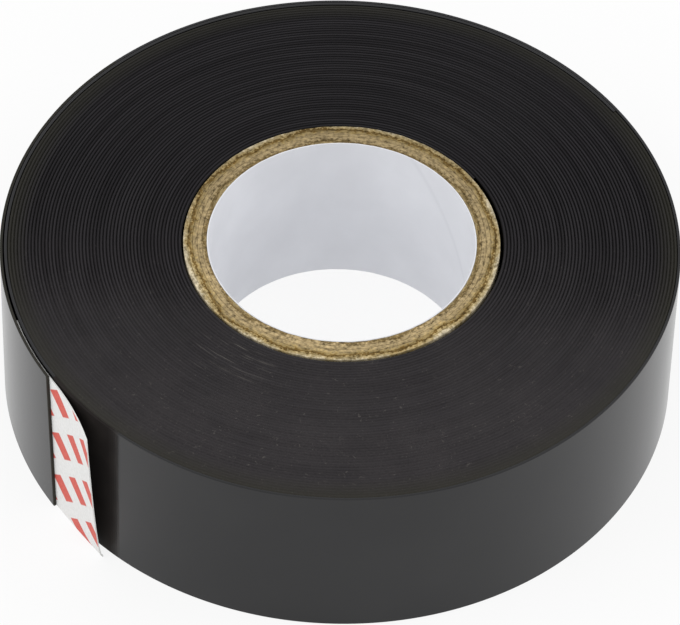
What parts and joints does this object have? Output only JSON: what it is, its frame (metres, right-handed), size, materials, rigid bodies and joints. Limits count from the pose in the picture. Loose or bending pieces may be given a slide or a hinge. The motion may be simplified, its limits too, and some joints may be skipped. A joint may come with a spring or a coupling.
{
  "type": "electrical tape roll",
  "caption": "Roll of black electrical tape wound on a paper core, with a paper starter tab under a free end that peels off the roll.",
  "frame": {"origin": "on the axis of the core's bore, in the plane of the roll's lower face", "axes": "+Z along the bore axis, out of the upper face; the roll lies on its lower face; the free end of the tape and the paper tab are on the -X, -Y side"},
  "size_m": [0.0679, 0.0676, 0.019],
  "materials": {
    "liner_paper": "smooth, slightly bluish white, uncoated",
    "chipboard": "grey-brown, fibrous, matt",
    "black_vinyl": "smooth semi-gloss film",
    "tab_paper": "white, printed with plain red slanted dashes"
  },
  "bodies": {
    "roll": {"core_liner": "liner_paper", "core_ply_1": "chipboard", "core_ply_2": "chipboard", "core_ply_3": "chipboard", "core_ply_4": "chipboard", "core_ply_5": "chipboard", "wound_tape": "black_vinyl"},
    "tape_length_1": {"tape_end_1": "black_vinyl"},
    "tape_length_2": {"tape_end_2": "black_vinyl"},
    "tape_length_3": {"tape_end_3": "black_vinyl"},
    "tape_length_4": {"tape_end_4": "black_vinyl"},
    "tape_length_5": {"tape_end_5": "black_vinyl", "tab_glued_leaf": "tab_paper"},
    "tab": {"tab_flap": "tab_paper"}
  },
  "joints": [
    {"name": "peel", "type": "hinge", "parent": "roll", "child": "tape_length_1", "pos_m": [-0.02418, 0.02381, 0.0095], "axis": [0, 0, -1], "range_deg": [0, 80]},
    {"name": "tape_bend_2", "type": "hinge", "parent": "tape_length_1", "child": "tape_length_2", "pos_m": [-0.02987, 0.01618, 0.0095], "axis": [0, 0, -1], "range_deg": [0, 16]},
    {"name": "tape_bend_3", "type": "hinge", "parent": "tape_length_2", "child": "tape_length_3", "pos_m": [-0.03324, 0.00728, 0.0095], "axis": [0, 0, -1], "range_deg": [0, 16]},
    {"name": "tape_bend_4", "type": "hinge", "parent": "tape_length_3", "child": "tape_length_4", "pos_m": [-0.03402, -0.00221, 0.0095], "axis": [0, 0, -1], "range_deg": [0, 16]},
    {"name": "tape_bend_5", "type": "hinge", "parent": "tape_length_4", "child": "tape_length_5", "pos_m": [-0.03215, -0.01155, 0.0095], "axis": [0, 0, -1], "range_deg": [0, 16]},
    {"name": "tab_fold", "type": "hinge", "parent": "tape_length_5", "child": "tab", "pos_m": [-0.02751, -0.01984, 0.0095], "axis": [0, 0, -1], "range_deg": [0, 75]}
  ],
  "couplings": [
    {"joint": "tape_bend_2", "follows": "peel", "ratio": 0.2},
    {"joint": "tape_bend_3", "follows": "peel", "ratio": 0.2},
    {"joint": "tape_bend_4", "follows": "peel", "ratio": 0.2},
    {"joint": "tape_bend_5", "follows": "peel", "ratio": 0.2}
  ]
}
